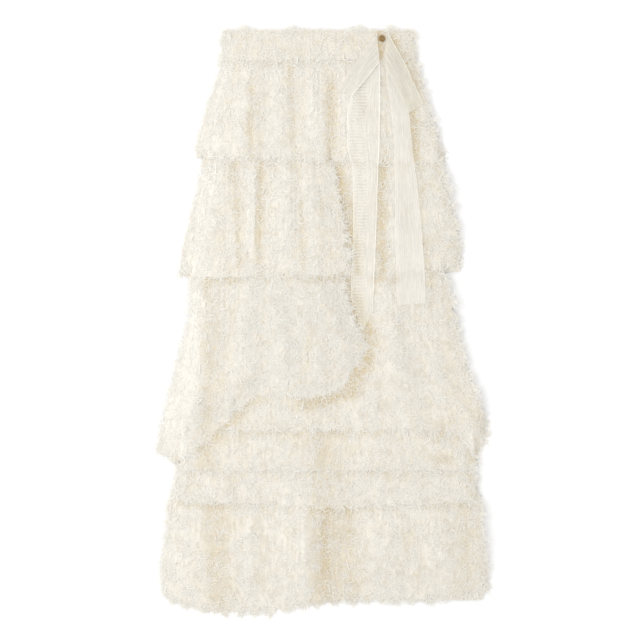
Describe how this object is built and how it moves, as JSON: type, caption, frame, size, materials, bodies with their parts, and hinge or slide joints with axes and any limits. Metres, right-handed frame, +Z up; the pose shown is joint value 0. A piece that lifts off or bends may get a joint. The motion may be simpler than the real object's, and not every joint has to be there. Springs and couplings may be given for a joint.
{
  "type": "tulle skirt",
  "caption": "Long tiered skirt of tufted ivory tulle laid flat, with a gathered waist, an overlapping cascade and a ribbon bow.",
  "frame": {"origin": "under the middle of the laid skirt, on the surface it lies on", "axes": "+Z up from the surface, +Y from the hem towards the waistband, +X towards the bow's side"},
  "size_m": [0.561, 0.9768, 0.0312],
  "materials": {
    "tulle": "matt ivory tulle with frayed tufts",
    "ribbon": "sheer cream ribbon with bright selvedges",
    "eyelet": "aged brass"
  },
  "bodies": {
    "root": {"waistband_back": "tulle", "tier_1_back": "tulle", "tier_2_back": "tulle", "tier_3_back": "tulle", "tier_4_back": "tulle", "flounce_back": "tulle", "tier_5_back": "tulle", "tier_5_front": "tulle", "flounce_front": "tulle", "tier_4_front": "tulle", "tier_3_front": "tulle", "tier_3_overlay": "tulle", "tier_2_front_right": "tulle", "tier_2_front_left": "tulle", "tier_1_front": "tulle", "waistband_front": "tulle", "bow_tail_left": "ribbon", "bow_tail_right": "ribbon", "bow_loop_left": "ribbon", "bow_loop_right": "ribbon", "bow_eyelet": "eyelet"}
  },
  "joints": []
}
